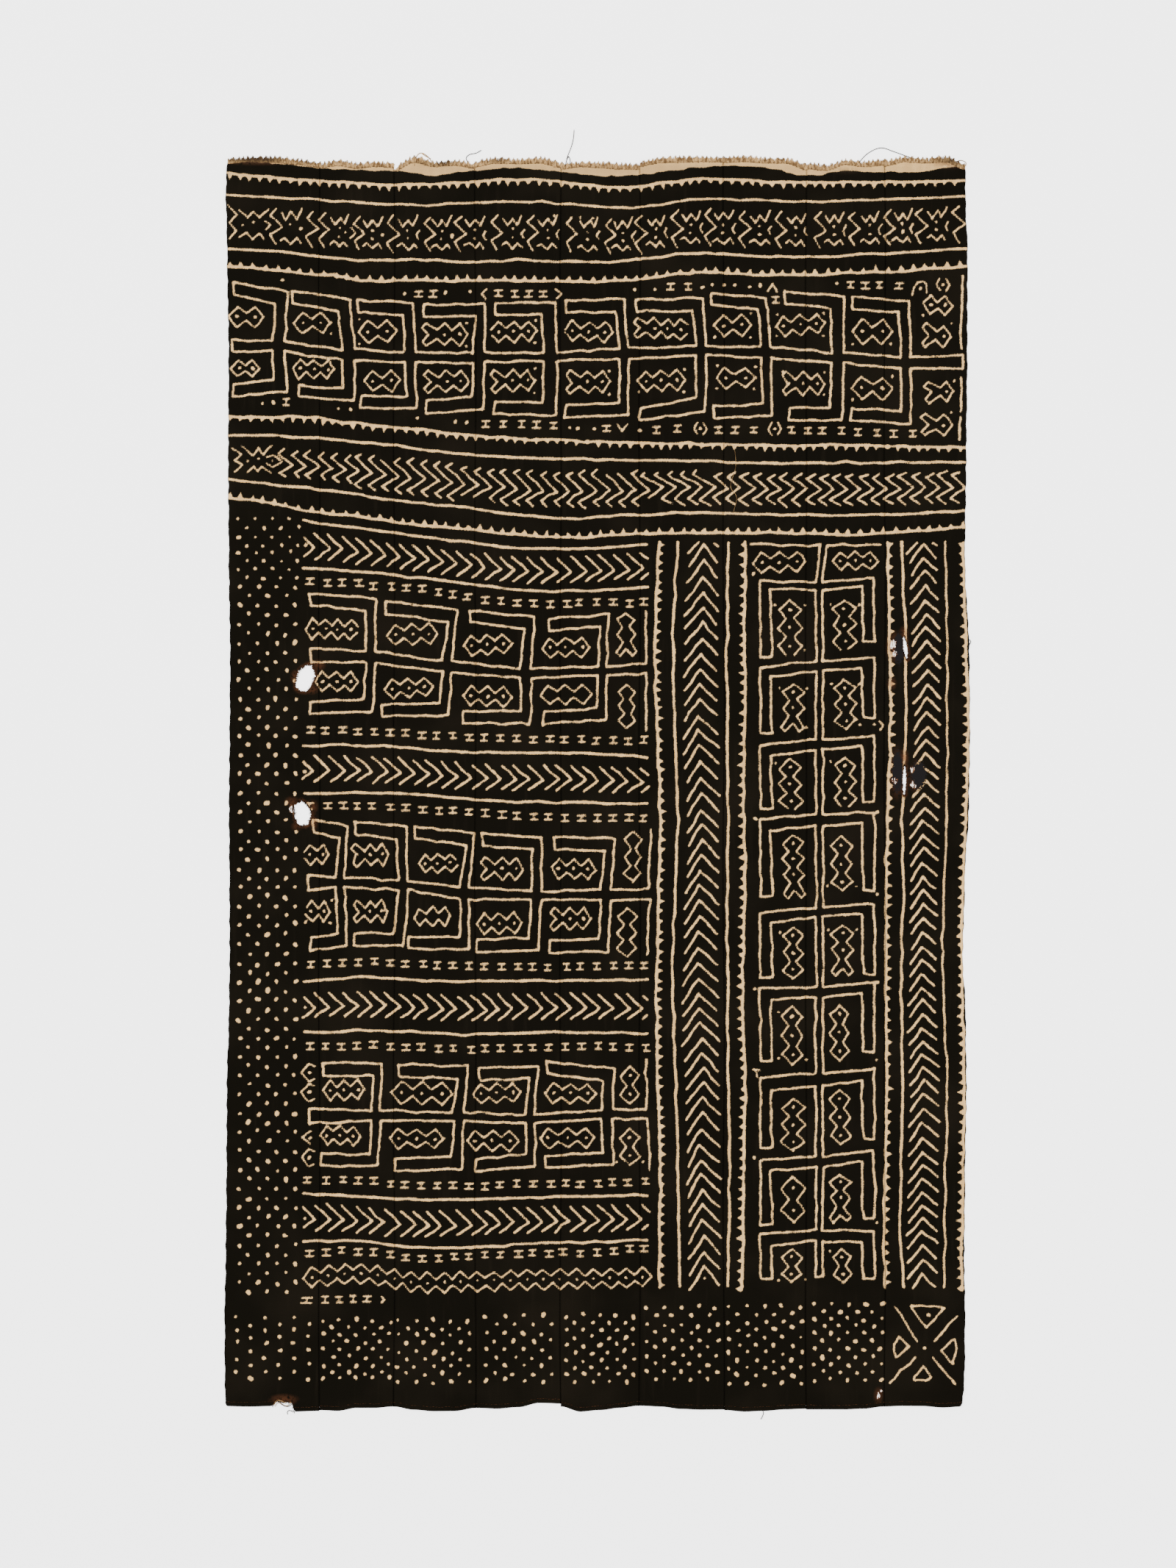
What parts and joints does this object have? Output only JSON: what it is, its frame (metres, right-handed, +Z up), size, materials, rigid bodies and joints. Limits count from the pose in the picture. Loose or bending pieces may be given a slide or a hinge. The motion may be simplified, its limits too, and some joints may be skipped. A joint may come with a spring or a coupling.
{
  "type": "bogolan mud cloth",
  "caption": "Flat rectangular cotton cloth of narrow handwoven strips sewn edge to edge, mud-dyed nearly black with a pale geometric pattern.",
  "frame": {"origin": "middle of the cloth on the surface that it lies on", "axes": "+Y along the strips towards the raw frayed edge, -Y towards the hem, +Z up out of the patterned face"},
  "size_m": [0.9112, 1.5374, 0.0057],
  "materials": {
    "dyed_cotton": "matte handwoven cotton, mud-dyed nearly black",
    "cotton_thread": "matte loose cotton yarn"
  },
  "bodies": {
    "root": {"strip_1": "dyed_cotton", "strip_2": "dyed_cotton", "strip_3": "dyed_cotton", "strip_4": "dyed_cotton", "strip_5": "dyed_cotton", "strip_6": "dyed_cotton", "strip_7": "dyed_cotton", "strip_8": "dyed_cotton", "strip_9": "dyed_cotton"}
  },
  "joints": []
}
